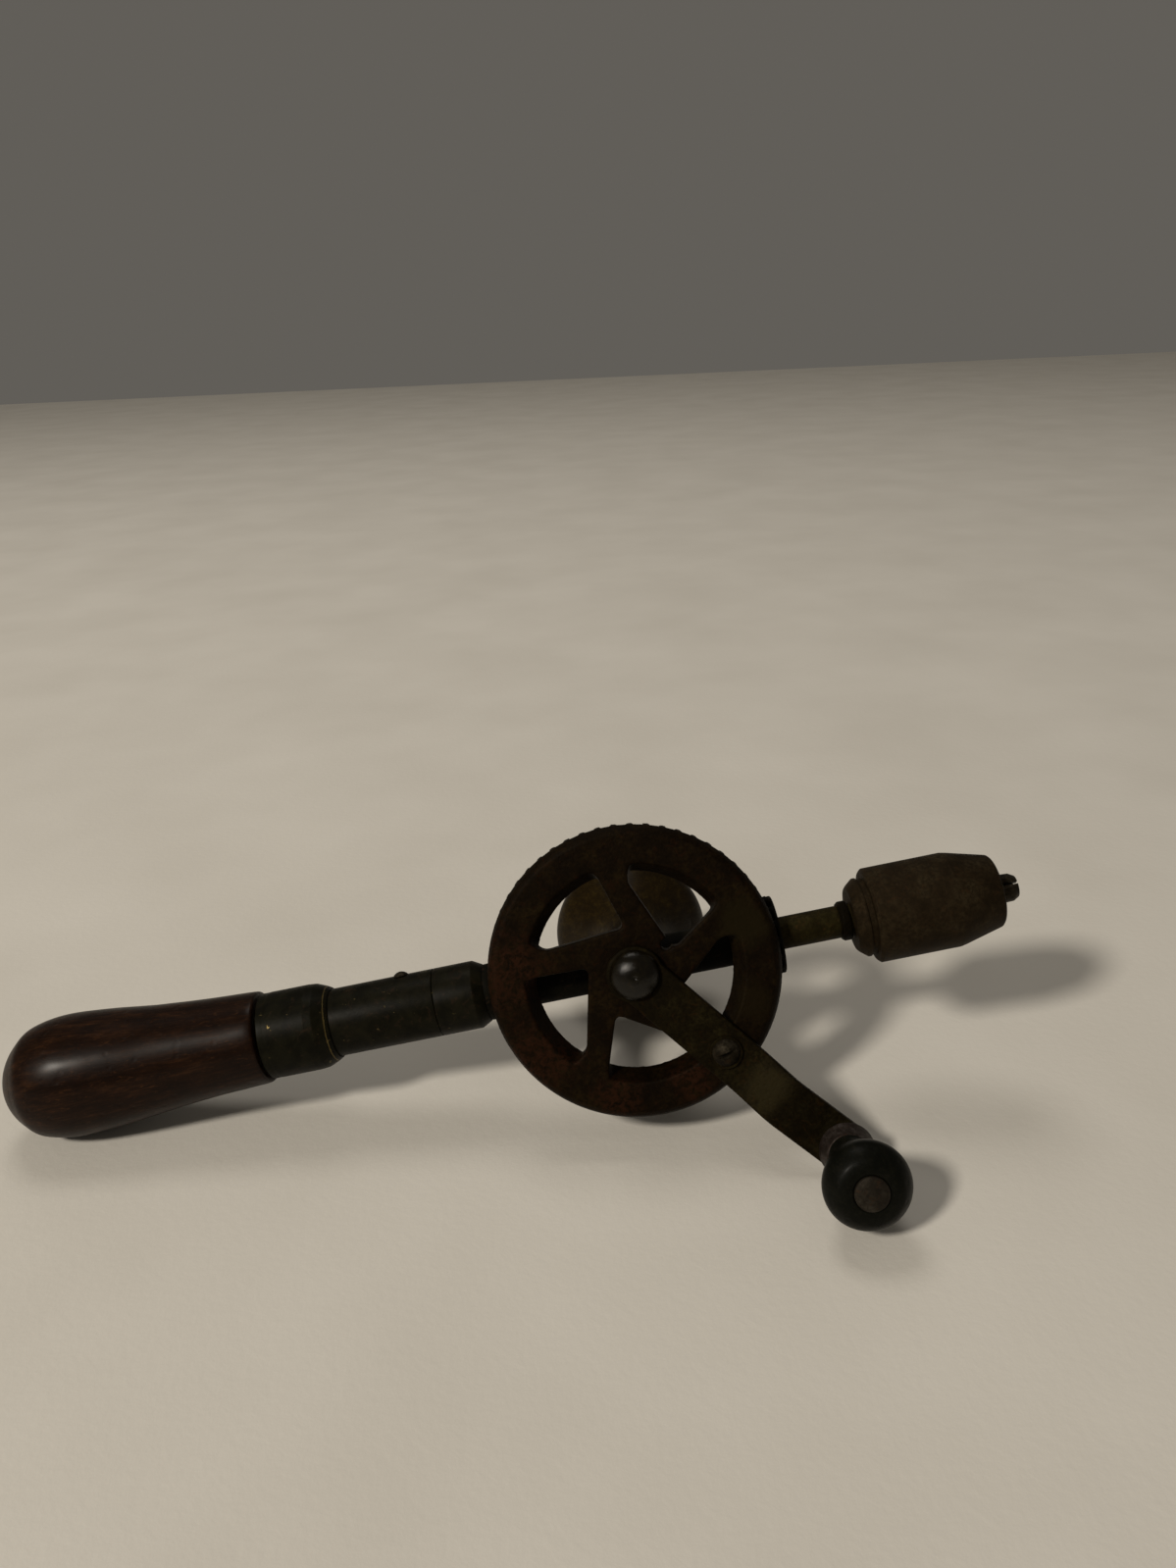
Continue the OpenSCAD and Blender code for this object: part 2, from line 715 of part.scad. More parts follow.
// a jaw in its slot: a blade with a bevelled outer edge, cut to a wedge and a groove inside
module jaw(i) {
    x0 = ring_x[1];
    slope = tan(jaw_cone);
    top_x = x0 - (jaw_outer_r - ring_front_r + 0.1) / slope;
    low_x = x0 - 1.2;
    low_r = ring_front_r - 0.1 + 1.2 * slope;
    apex = jaw_slit / sin(60);
    color([0.32, 0.27, 0.2]) as_laid() at_jaw(i) difference() {
        intersection() {
            along_spindle() rotate_extrude() polygon([
                [0, jaw_rear_x], [jaw_outer_r - 0.5, jaw_rear_x],
                [jaw_outer_r, jaw_rear_x + 0.5], [jaw_outer_r, top_x], [low_r, low_x],
                [5, x0], [4.4, x0 + 1], [4.1, jaw_tip_x - 1.6], [3.2, jaw_tip_x],
                [0, jaw_tip_x]
            ]);
            translate([0, -jaw_t / 2, 0]) cube([2 * jaw_tip_x, jaw_t, 2 * shell_r]);
            along_spindle() linear_extrude(2 * jaw_tip_x)
                polygon([[-apex, 0], [-40, -40 * tan(60)], [-40, 40 * tan(60)]]);
        }
        along_spindle() rod(jaw_bore_r, jaw_rear_x - 1, jaw_tip_x + 1);
    }
}

module jaw_1() {
    jaw(0);
}

module jaw_2() {
    jaw(1);
}

module jaw_3() {
    jaw(2);
}

module nose_ring() {
    ring_rear_r = ring_front_r + (ring_x[1] - ring_x[0]) * tan(jaw_cone);
    color([0.35, 0.33, 0.3]) as_laid() along_spindle() rotate_extrude() polygon([
        [ring_rear_r, ring_x[0]], [body_r, ring_x[0]], [body_r, ring_x[0] + 1.3],
        [8.8, ring_x[1]], [ring_front_r, ring_x[1]]
    ]);
}

module chuck_shell() {
    inner_r = body_r + 0.1;
    color([0.3, 0.18, 0.12]) as_laid() along_spindle() rotate_extrude() polygon([
        [inner_r, shell_rear], [shell_r - 0.8, shell_rear], [shell_r, shell_rear + 0.8],
        [shell_r, shell_taper_x], [shell_r - 0.3, shell_taper_x + 1.6],
        [shell_nose_r, shell_front - 0.6], [shell_nose_r - 0.6, shell_front],
        [nose_hole_r, shell_front], [nose_hole_r, ring_x[1] + 0.15],
        [8.95, ring_x[1] + 0.15], [inner_r, ring_x[0] + 1.4]
    ]);
}

main_frame();
barrel_tube();
front_sleeve();
barrel_screw();
handle_tang();
handle_ferrule();
wood_handle();
wheel_stud();
hub_washer();
spindle_bush();
thrust_ball();
retaining_screw();
side_knob();
side_knob_stud();
side_knob_washer();
drive_wheel();
crank_arm();
rim_screw();
rim_screw_washer();
knob_rivet();
knob_collar();
crank_knob();
spindle();
drive_pinion();
pinion_pin();
spindle_collar();
chuck_body();
jaw_spring();
nose_ring();
chuck_shell();
jaw_1();
jaw_2();
jaw_3();
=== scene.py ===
"""A hand drill's looks: turned wood, worn castings and patinated steel round the CAD frame.

Every piece is drawn in millimetres in its own local frame, and a placing matrix puts it on
the drill as it lies. The drill's own frame has the gears' apex as its origin, X along the
spindle towards the chuck, and the crank wheel facing -Y.
"""

import json
import math

import bmesh
import bpy
import numpy as np
from mathutils import Matrix, Vector, noise


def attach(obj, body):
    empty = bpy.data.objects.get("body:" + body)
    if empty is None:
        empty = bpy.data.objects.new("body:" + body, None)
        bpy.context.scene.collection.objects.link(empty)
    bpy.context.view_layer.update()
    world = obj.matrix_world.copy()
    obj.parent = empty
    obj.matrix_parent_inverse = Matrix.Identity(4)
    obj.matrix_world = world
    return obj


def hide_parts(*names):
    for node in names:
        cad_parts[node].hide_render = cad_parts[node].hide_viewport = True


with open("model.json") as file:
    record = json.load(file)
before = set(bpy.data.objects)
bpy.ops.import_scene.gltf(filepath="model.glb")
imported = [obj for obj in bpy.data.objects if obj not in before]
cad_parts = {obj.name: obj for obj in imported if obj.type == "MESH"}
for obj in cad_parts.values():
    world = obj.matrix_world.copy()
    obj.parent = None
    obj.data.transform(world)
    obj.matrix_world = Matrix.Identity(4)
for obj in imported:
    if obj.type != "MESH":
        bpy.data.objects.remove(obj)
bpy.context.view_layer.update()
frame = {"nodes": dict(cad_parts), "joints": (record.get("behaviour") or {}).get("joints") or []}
NODES = frame["nodes"]
JOINTS = {j["name"]: j for j in frame["joints"]}
MM = 0.001

# ---------- placing ----------

SPINDLE = Vector(JOINTS["spindle_spin"]["axis"]).normalized()
WHEEL_AXIS = Vector(JOINTS["wheel_spin"]["axis"]).normalized()
APEX = Vector(JOINTS["wheel_spin"]["pos_m"])
LAY = Matrix.Translation(APEX) @ Matrix(
    (SPINDLE, WHEEL_AXIS, SPINDLE.cross(WHEEL_AXIS))
).transposed().to_4x4()


def turn(axis, degrees):
    return Matrix.Rotation(math.radians(degrees), 4, axis)


def shift(x=0.0, y=0.0, z=0.0):
    return Matrix.Translation(Vector((x, y, z)) * MM)


# crank arm: its direction, the step where it rises off the wheel, the turn of its outer
# part in its own plane, and the knob's place on it
CRANK_ANGLE = -51.7
STEP_AT, STEP_L, STEP_H = 41.5, 12.0, 4.0
OUTER_AT = STEP_AT + STEP_L
SWING = 3.4
KNOB_AT = 75.4
ARM_FRONT = 18.95

DRILL = LAY
ALONG = LAY @ turn("Y", 90)  # local z runs along the spindle
FRONT = LAY @ turn("X", 90)  # local z points out of the wheel's face
BACK = LAY @ turn("X", -90)  # local z points at the side knob
ARM = FRONT @ turn("Z", CRANK_ANGLE)  # local x runs out along the arm
ON_ARM = shift(OUTER_AT) @ turn("Z", SWING) @ shift(KNOB_AT - OUTER_AT, 0, ARM_FRONT + STEP_H)
KNOB = ARM @ ON_ARM  # local z is the crank knob's axis


# ---------- meshes ----------

CORNER_STEPS = 5  # segments in each rounded corner of a profile
WELD_GAP = 0.002  # millimetres
EDGE_ANGLE = 30  # degrees; sharper edges are bevelled


def add(name, mesh, place, body, material, stands_for=()):
    """A finished piece: place moves its mesh from local metres onto the drill."""
    mesh.transform(place)
    obj = bpy.data.objects.new(name, mesh)
    bpy.context.scene.collection.objects.link(obj)
    mesh.materials.clear()
    mesh.materials.append(material)
    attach(obj, body)
    if stands_for:
        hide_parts(*stands_for)
    return obj


def mesh_from(points, faces):
    mesh = bpy.data.meshes.new("mesh")
    mesh.from_pydata([tuple(p) for p in np.asarray(points, float) * MM], [], faces)
    mesh.validate()
    return smooth(mesh)


def smooth(mesh, angle=35):
    """Smooth shading that keeps edges sharper than the angle."""
    mesh.shade_smooth()
    mesh.set_sharp_from_angle(angle=math.radians(angle))
    return mesh


def rounded(corners):
    """A profile with its corners rounded: a corner is (z, r) or (z, r, radius)."""
    out = []
    for i, corner in enumerate(corners):
        p = np.array(corner[:2], float)
        radius = corner[2] if len(corner) > 2 else 0
        if not radius or i in (0, len(corners) - 1):
            out.append(p)
            continue
        a = np.array(corners[i - 1][:2], float) - p
        b = np.array(corners[i + 1][:2], float) - p
        la, lb = np.linalg.norm(a), np.linalg.norm(b)
        a, b = a / la, b / lb
        half = math.acos(max(-1.0, min(1.0, float(a @ b)))) / 2
        reach = min(radius / math.tan(half), 0.49 * la, 0.49 * lb)
        size = reach * math.tan(half)
        centre = p + (a + b) / np.linalg.norm(a + b) * size / math.sin(half)
        start, end = p + a * reach - centre, p + b * reach - centre
        angle = math.atan2(
            start[0] * end[1] - start[1] * end[0], float(start @ end)
        )
        for k in range(CORNER_STEPS + 1):
            t = angle * k / CORNER_STEPS
            c, s = math.cos(t), math.sin(t)
            out.append(centre + (start[0] * c - start[1] * s, start[0] * s + start[1] * c))
    return out


def curve(points, steps=6):
    """A smooth curve through the points."""
    pts = [np.array(p, float) for p in points]
    out = []
    for i in range(len(pts) - 1):
        p0, p1, p2 = pts[max(i - 1, 0)], pts[i], pts[i + 1]
        p3 = pts[min(i + 2, len(pts) - 1)]
        for k in range(steps):
            t = k / steps
            out.append(
                0.5 * (2 * p1 + (p2 - p0) * t + (2 * p0 - 5 * p1 + 4 * p2 - p3) * t * t
                       + (3 * p1 - p0 - 3 * p2 + p3) * t ** 3)
            )
    return out + [pts[-1]]


def lathe(profile, segments=128, closed=False):
    """Points and faces of a profile of (z, r) turned about local z. A closed profile is a ring."""
    angles = np.linspace(0, 2 * math.pi, segments, endpoint=False)
    points, rows = [], []
    for z, r in profile:
        if r < 1e-6 and not closed:
            rows.append([len(points)] * segments)
            points.append((0, 0, z))
        else:
            rows.append(list(range(len(points), len(points) + segments)))
            points += [(r * math.cos(a), r * math.sin(a), z) for a in angles]
    pairs = list(zip(rows, rows[1:] + rows[:1])) if closed else list(zip(rows, rows[1:]))
    faces = []
    for low, high in pairs:
        for k in range(segments):
            n = (k + 1) % segments
            quad = [low[k], low[n], high[n], high[k]]
            face = [v for i, v in enumerate(quad) if v not in quad[:i]]
            if len(face) > 2:
                faces.append(face)
    return np.array(points), faces


def turned(profile, segments=128, closed=False, shape=None):
    """A turned mesh. shape moves its points, which are in millimetres."""
    points, faces = lathe(profile, segments, closed)
    if shape:
        points = shape(points)
    mesh = mesh_from(points, faces)
    fix_normals(mesh)
    return mesh


def fix_normals(mesh):
    bm = bmesh.new()
    bm.from_mesh(mesh)
    bmesh.ops.recalc_face_normals(bm, faces=bm.faces)
    bm.to_mesh(mesh)
    bm.free()


def block(x0, x1, y0, y1, z0, z1):
    """A box, used only as a cutter or as part of a casting."""
    points = [(x, y, z) for x in (x0, x1) for y in (y0, y1) for z in (z0, z1)]
    faces = [[0, 1, 3, 2], [4, 6, 7, 5], [0, 4, 5, 1], [2, 3, 7, 6], [0, 2, 6, 4], [1, 5, 7, 3]]
    mesh = mesh_from(points, faces)
    fix_normals(mesh)
    return mesh


def evaluated(mesh, *modifiers):
    """The mesh with modifiers applied. Each one is (type, {setting: value})."""
    obj = bpy.data.objects.new("work", mesh)
    bpy.context.scene.collection.objects.link(obj)
    for kind, settings in modifiers:
        modifier = obj.modifiers.new(kind, kind)
        for key, value in settings.items():
            setattr(modifier, key, value)
    bpy.context.view_layer.update()
    out = bpy.data.meshes.new_from_object(
        obj.evaluated_get(bpy.context.evaluated_depsgraph_get())
    )
    bpy.data.objects.remove(obj)
    return out


def cut(mesh, *cutters, operation="DIFFERENCE"):
    """The mesh less its cutters, which are (mesh, matrix)."""
    objs, modifiers = [], []
    for cutter, matrix in cutters:
        obj = bpy.data.objects.new("cutter", cutter)
        bpy.context.scene.collection.objects.link(obj)
        obj.matrix_world = matrix
        objs.append(obj)
        modifiers.append(("BOOLEAN", {"operation": operation, "object": obj, "solver": "EXACT"}))
    out = evaluated(mesh, *modifiers)
    for obj in objs:
        bpy.data.objects.remove(obj)
    return smooth(out)


def bevelled(mesh, width):
    out = evaluated(
        mesh,
        ("WELD", {"merge_threshold": WELD_GAP * MM}),
        ("BEVEL", {"width": width * MM, "segments": 2, "limit_method": "ANGLE",
                   "angle_limit": math.radians(EDGE_ANGLE), "use_clamp_overlap": True}),
    )
    return smooth(out, 40)


def local_copy(node, place):
    """A CAD node's mesh in the local frame of a placing."""
    mesh = NODES[node].data.copy()
    mesh.transform(place.inverted())
    return mesh


def coordinates(mesh):
    co = np.zeros(len(mesh.vertices) * 3)
    mesh.vertices.foreach_get("co", co)
    return co.reshape(-1, 3)


def set_coordinates(mesh, co):
    mesh.vertices.foreach_set("co", co.ravel())
    mesh.update()


def relax(mesh, rounds, weight=None):
    """Moves each point towards its neighbours' mean, as a casting's edges are soft."""
    co = coordinates(mesh)
    edges = np.zeros(len(mesh.edges) * 2, int)
    mesh.edges.foreach_get("vertices", edges)
    a, b = edges.reshape(-1, 2).T
    count = np.bincount(a, minlength=len(co)) + np.bincount(b, minlength=len(co))
    amount = 0.5 * (np.ones(len(co)) if weight is None else weight(co / MM))[:, None]
    for _ in range(rounds):
        mean = np.stack([
            np.bincount(a, co[b, k], len(co)) + np.bincount(b, co[a, k], len(co))
            for k in range(3)
        ], 1) / count[:, None]
        co = co + amount * (mean - co)
    set_coordinates(mesh, co)


def joined(*meshes):
    bm = bmesh.new()
    for mesh in meshes:
        bm.from_mesh(mesh)
    out = bpy.data.meshes.new("joined")
    bm.to_mesh(out)
    bm.free()
    return out


def casting(mesh, voxel, rounds, faces, weight=None):
    """One skin round the mesh with soft edges, brought down to about the given face count."""
    out = evaluated(
        mesh, ("REMESH", {"mode": "VOXEL", "voxel_size": voxel * MM, "adaptivity": 0})
    )
    relax(out, rounds, weight)
    ratio = faces / (2 * len(out.polygons))
    if ratio < 1:
        out = evaluated(out, ("DECIMATE", {"ratio": ratio}))
    return smooth(out, 50)


# ---------- materials ----------


class Shader:
    """A Principled material whose pattern is laid out in the local millimetres of a placing."""

    def __init__(self, name, place, **sockets):
        self.material = bpy.data.materials.new(name)
        self.material.use_nodes = True
        self.tree = self.material.node_tree
        self.bsdf = self.tree.nodes["Principled BSDF"]
        for key, value in sockets.items():
            self.bsdf.inputs[key.replace("_", " ")].default_value = value
        position = self.node("ShaderNodeTexCoord").outputs["Object"]
        mapping = self.node("ShaderNodeMapping")
        to_local = place.inverted()
        mapping.inputs["Scale"].default_value = (1 / MM,) * 3
        mapping.inputs["Rotation"].default_value = to_local.to_euler()
        mapping.inputs["Location"].default_value = to_local.translation / MM
        self.link(position, mapping.inputs["Vector"])
        self.at = mapping.outputs["Vector"]  # the place in local millimetres

    def node(self, kind, **settings):
        node = self.tree.nodes.new(kind)
        for key, value in settings.items():
            setattr(node, key, value)
        return node

    def link(self, value, socket):
        if isinstance(value, bpy.types.NodeSocket):
            self.tree.links.new(value, socket)
        elif hasattr(value, "__len__") and len(socket.default_value) == 4 and len(value) == 3:
            socket.default_value = (*value, 1)
        else:
            socket.default_value = value

    def stretch(self, scale=(1, 1, 1), move=(0, 0, 0), rotate=(0, 0, 0)):
        node = self.node("ShaderNodeMapping")
        self.link(self.at, node.inputs["Vector"])
        node.inputs["Scale"].default_value = scale
        node.inputs["Location"].default_value = move
        node.inputs["Rotation"].default_value = [math.radians(a) for a in rotate]
        return node.outputs["Vector"]

    def noise(self, scale, detail=4, rough=0.55, distortion=0, at=None):
        """Noise whose features are about 1/scale millimetres across."""
        node = self.node("ShaderNodeTexNoise")
        self.link(self.at if at is None else at, node.inputs["Vector"])
        node.inputs["Scale"].default_value = scale
        node.inputs["Detail"].default_value = detail
        node.inputs["Roughness"].default_value = rough
        node.inputs["Distortion"].default_value = distortion
        return node.outputs["Fac"]

    def cells(self, scale, at=None):
        """Distance to the nearest of scattered points."""
        node = self.node("ShaderNodeTexVoronoi", feature="SMOOTH_F1")
        self.link(self.at if at is None else at, node.inputs["Vector"])
        node.inputs["Scale"].default_value = scale
        return node.outputs["Distance"]

    def math(self, operation, a, b=0.0):
        node = self.node("ShaderNodeMath", operation=operation)
        self.link(a, node.inputs[0])
        self.link(b, node.inputs[1])
        return node.outputs[0]

    def spread(self, value, low, high):
        """A value from 0 to 1, spread from low to high."""
        node = self.node("ShaderNodeMath", operation="MULTIPLY_ADD")
        self.link(value, node.inputs[0])
        node.inputs[1].default_value = high - low
        node.inputs[2].default_value = low
        return node.outputs[0]

    def along(self):
        """The place along local z."""
        node = self.node("ShaderNodeSeparateXYZ")
        self.link(self.at, node.inputs[0])
        return node.outputs["Z"]

    def near(self, point, reach, ragged=0.5):
        """1 at a point, falling to 0 at reach, with a ragged edge."""
        node = self.node("ShaderNodeVectorMath", operation="DISTANCE")
        self.link(self.at, node.inputs[0])
        node.inputs[1].default_value = point
        edge = ragged * reach
        distance = self.math(
            "ADD", node.outputs["Value"],
            self.spread(self.noise(2.2 / reach, 5, 0.65), -edge, edge),
        )
        return self.band(distance, reach, 0.35 * reach)

    def band(self, value, high, low):
        """0 at high, 1 at low, and smooth in between."""
        node = self.node("ShaderNodeMapRange", interpolation_type="SMOOTHSTEP")
        self.link(value, node.inputs["Value"])
        node.inputs["From Min"].default_value = high
        node.inputs["From Max"].default_value = low
        return node.outputs["Result"]

    def ramp(self, fac, *stops):
        node = self.node("ShaderNodeValToRGB")
        self.link(fac, node.inputs["Fac"])
        elements = node.color_ramp.elements
        while len(elements) < len(stops):
            elements.new(1.0)
        for element, (place, color) in zip(elements, stops):
            element.position = place
            color = (color,) * 3 if isinstance(color, (int, float)) else color
            element.color = (*color, 1)
        return node.outputs["Color"]

    def mix(self, fac, a, b):
        node = self.node("ShaderNodeMix", data_type="RGBA")
        self.link(fac, node.inputs["Factor"])
        self.link(a, node.inputs[6])
        self.link(b, node.inputs[7])
        return node.outputs[2]

    def bump(self, height, depth, normal=None, strength=1.0):
        """Bump of a height from 0 to 1 that is the given number of millimetres deep."""
        node = self.node("ShaderNodeBump")
        node.inputs["Strength"].default_value = strength
        node.inputs["Distance"].default_value = depth * MM
        self.link(height, node.inputs["Height"])
        if normal is not None:
            self.link(normal, node.inputs["Normal"])
        return node.outputs["Normal"]

    def finish(self, color=None, roughness=None, normal=None, metallic=None):
        for value, name in ((color, "Base Color"), (roughness, "Roughness"),
                            (normal, "Normal"), (metallic, "Metallic")):
            if value is not None:
                self.link(value, self.bsdf.inputs[name])
        return self.material


def grain_wood(name, place, dark, mid, light, coat, gloss=(0.3, 0.46)):
    """Old varnished wood, its grain along local z: streaks, blotches, scratches and dents."""
    s = Shader(name, place, Coat_Weight=coat, Coat_Roughness=0.25, Specular_IOR_Level=0.05)
    streaks = s.noise(0.55, 7, 0.62, 0.25, s.stretch((1, 1, 0.09)))
    fibres = s.noise(3.2, 5, 0.7, 0.1, s.stretch((1, 1, 0.05)))
    blotch = s.noise(0.13, 6, 0.6, 0.3)
    color = s.ramp(streaks, (0.3, dark), (0.52, mid), (0.72, light))
    color = s.mix(s.ramp(fibres, (0.35, 0.75), (0.62, 0.0)), color, dark)
    color = s.mix(s.ramp(blotch, (0.42, 0.0), (0.64, 0.7)), color, dark)
    scuffs = s.noise(1.1, 6, 0.75, 1.2, s.stretch((1, 1, 0.25), rotate=(12, 20, 0)))
    scuff = s.ramp(scuffs, (0.56, 0.0), (0.68, 0.8))
    color = s.mix(scuff, color, light)
    rough = s.spread(s.noise(0.5, 5, 0.7), *gloss)
    dents = s.cells(0.22, s.stretch(move=(3, 1, 7)))
    normal = s.bump(s.ramp(dents, (0.0, 0.0), (0.22, 1.0)), 0.25, strength=0.5)
    normal = s.bump(fibres, 0.05, normal)
    normal = s.bump(scuffs, 0.06, normal)
    return s.finish(color, rough, normal)


def patina(name, place, dark, mid, light, spots, metallic=0.25, gloss=(0.42, 0.75), pits=0.12,
           paint=None, patches=(), specular=0.05, turned_marks=False):
    """Browned, pitted old steel or iron. paint is (colour, ((point, reach), ...)), and
    patches are (colour, point, reach), both in local millimetres."""
    s = Shader(name, place, Metallic=metallic, Specular_IOR_Level=specular)
    cloud = s.noise(0.16, 8, 0.62, 0.5)
    mottle = s.noise(0.9, 6, 0.65, 0.4)
    speck = s.noise(5.0, 4, 0.7)
    color = s.ramp(cloud, (0.32, dark), (0.5, mid), (0.68, light))
    color = s.mix(s.ramp(mottle, (0.4, 0.8), (0.6, 0.0)), color, dark)
    color = s.mix(s.ramp(s.noise(0.45, 7, 0.7, 1.0, s.stretch(move=(40, 0, 9))),
                         (0.55, 0.0), (0.66, 0.75)), color, spots)
    for tint, point, reach in patches:
        color = s.mix(s.math("MULTIPLY", s.near(point, reach), 0.8), color, tint)
    if paint:
        tint, places = paint
        cover = None
        for point, reach in places:
            here = s.near(point, reach, 0.7)
            cover = here if cover is None else s.math("MAXIMUM", cover, here)
        chips = s.ramp(s.noise(0.6, 8, 0.72, 0.6, s.stretch(move=(0, 17, 3))),
                       (0.42, 0.0), (0.56, 1.0))
        color = s.mix(s.math("MULTIPLY", cover, chips), color, tint)
    color = s.mix(s.ramp(speck, (0.3, 0.55), (0.5, 0.0)), color, dark)
    rough = s.spread(mottle, *gloss)
    pitting = s.ramp(s.cells(0.8), (0.05, 0.0), (0.4, 1.0))
    normal = s.bump(pitting, pits, strength=0.45)
    normal = s.bump(mottle, 0.09, normal)
    normal = s.bump(speck, 0.035, normal)
    if turned_marks:
        rings = s.noise(1.6, 3, 0.6, 0, s.stretch((0.03, 0.03, 1)))
        normal = s.bump(rings, 0.05, normal)
    return s.finish(color, rough, normal)


def enamel(name, place, base, lift, metal, wear=(), gloss=(0.34, 0.52), coat=0.04):
    """Black enamel, satin with age: dusty clouds, nicks through to the metal, and worn
    places, which are (axis value, half width) along local z."""
    s = Shader(name, place, Coat_Weight=coat, Coat_Roughness=0.4, Specular_IOR_Level=0.04)
    cloud = s.noise(0.22, 7, 0.6, 0.4)
    color = s.mix(s.ramp(cloud, (0.4, 0.0), (0.7, 0.8)), base, lift)
    brown = s.ramp(s.noise(0.35, 7, 0.7, 0.8, s.stretch(move=(5, 31, 2))),
                   (0.56, 0.0), (0.68, 0.6))
    color = s.mix(brown, color, (0.028, 0.016, 0.009))
    bare = s.ramp(s.noise(0.75, 3, 0.5, 0.3, s.stretch((1, 1, 0.55), (9, 2, 5))),
                  (0.7, 0.0), (0.735, 1.0))
    z = s.along()
    for place, half in wear:
        off = s.math("ABSOLUTE", s.math("SUBTRACT", z, place))
        ragged = s.spread(s.noise(0.7, 5, 0.7, 0.5), -0.9 * half, 1.3 * half)
        bare = s.math("MAXIMUM", bare, s.band(s.math("ADD", off, ragged), half, 0.5 * half))
    color = s.mix(bare, color, metal)
    rough = s.spread(s.noise(0.6, 6, 0.7), *gloss)
    scratches = s.noise(1.4, 5, 0.75, 0.6, s.stretch((1, 1, 0.3), rotate=(25, 0, 0)))
    normal = s.bump(cloud, 0.12)
    normal = s.bump(scratches, 0.05, normal)
    normal = s.bump(s.math("SUBTRACT", 1.0, bare), 0.06, normal)
    return s.finish(color, rough, normal, s.math("MULTIPLY", bare, 0.8))


HANDLE_WOOD = grain_wood(
    "handle_varnish", ALONG, (0.0058, 0.002, 0.0007), (0.0174, 0.0062, 0.002),
    (0.0515, 0.0202, 0.007), coat=0.13,
)
SIDE_WOOD = grain_wood(
    "side_knob_varnish", BACK, (0.0077, 0.0043, 0.0008), (0.02, 0.0114, 0.002),
    (0.0424, 0.0275, 0.0055), coat=0.08,
)
BLACK_WOOD = grain_wood(
    "black_lacquer", KNOB, (0.0029, 0.0031, 0.002), (0.0054, 0.0056, 0.0036),
    (0.0121, 0.0109, 0.007), coat=0.03, gloss=(0.32, 0.45),
)
BLACK_ENAMEL = enamel(
    "barrel_enamel", ALONG, (0.0042, 0.0039, 0.0018), (0.0119, 0.0102, 0.0047),
    (0.0903, 0.0699, 0.0277),
)
FERRULE_ENAMEL = enamel(
    "ferrule_enamel", ALONG, (0.0041, 0.0037, 0.0017), (0.0114, 0.0104, 0.0047),
    (0.115, 0.0841, 0.0308), wear=((-91.0, 0.25),),
)
CASTING_BLACK = enamel(
    "frame_paint", ALONG, (0.0033, 0.003, 0.0017), (0.0077, 0.0066, 0.0034),
    (0.0275, 0.022, 0.0118), gloss=(0.55, 0.75), coat=0.0,
)
WHEEL_IRON = patina(
    "wheel_patina", FRONT, (0.0039, 0.0021, 0.0005), (0.009, 0.0049, 0.0014),
    (0.0175, 0.0104, 0.0029), (0.0164, 0.0059, 0.0016),
    paint=((0.0235, 0.0085, 0.0034), (((-34, 6, 16), 15), ((-30, -18, 16), 14),
                                      ((-12, -34, 16), 9), ((10, -33, 16), 8))),
    patches=(((0.0119, 0.0076, 0.0022), (31, -14, 16), 8),
             ((0.014, 0.0099, 0.0029), (33, 8, 16), 10)),
)
ARM_STEEL = patina(
    "arm_patina_and_painted_light", ARM, (0.0052, 0.0035, 0.001), (0.012, 0.0086, 0.0027),
    (0.0234, 0.018, 0.0059), (0.0234, 0.0111, 0.0027), metallic=0.35,
    # the lighter patch at 48 mm along the arm is painted light, where the rising step faces the
    # lamp; the patch at the hub end is darker, and the one at 75 mm is lighter round the knob's
    # foot
    patches=(((0.0205, 0.0155, 0.0052), (48, 0, 21), 8),
             ((0.0039, 0.0027, 0.0009), (0, 0, 18), 12),
             ((0.028, 0.0235, 0.0105), (75, 1, 23), 9.5)),
)
COLLAR_STEEL = patina(
    "collar_patina", KNOB, (0.0169, 0.0118, 0.0089), (0.0507, 0.0406, 0.0351),
    (0.0845, 0.0719, 0.0663), (0.0338, 0.0169, 0.0097), metallic=0.5, gloss=(0.4, 0.6), pits=0.05,
)
CHUCK_STEEL = patina(
    "chuck_patina", ALONG, (0.0123, 0.008, 0.0037), (0.0248, 0.0165, 0.0077),
    (0.04, 0.0293, 0.0148), (0.0324, 0.0179, 0.0074), metallic=0.3, gloss=(0.5, 0.75),
    pits=0.06, turned_marks=True,
)
SPINDLE_STEEL = patina(
    "spindle_patina", ALONG, (0.0114, 0.0083, 0.0024), (0.0257, 0.02, 0.0058),
    (0.0462, 0.0358, 0.0124), (0.0404, 0.022, 0.0063), metallic=0.4, turned_marks=True,
)
NUT_STEEL = patina(
    "nut_patina", ALONG, (0.0029, 0.002, 0.0005), (0.0059, 0.0041, 0.0011),
    (0.0107, 0.0076, 0.0023), (0.0107, 0.0053, 0.0013), metallic=0.35,
)
STUD_STEEL = patina(
    "stud_patina", FRONT, (0.0029, 0.0019, 0.0006), (0.006, 0.0043, 0.0015),
    (0.0125, 0.0095, 0.0035), (0.0096, 0.0054, 0.0016), metallic=0.15, gloss=(0.15, 0.24),
    pits=0.015, specular=0.3,
)
WORN_STEEL = patina(
    "worn_steel", ALONG, (0.0084, 0.0063, 0.0039), (0.0245, 0.0196, 0.0123),
    (0.0525, 0.0434, 0.0286), (0.0315, 0.0182, 0.0084), metallic=0.6, gloss=(0.35, 0.6), pits=0.05,
)
RIVET_STEEL = patina(
    "rivet_face", KNOB, (0.0151, 0.012, 0.0088), (0.0302, 0.0248, 0.0182),
    (0.0504, 0.0432, 0.0331), (0.042, 0.0239, 0.0133), metallic=0.4, gloss=(0.45, 0.65), pits=0.05,
)
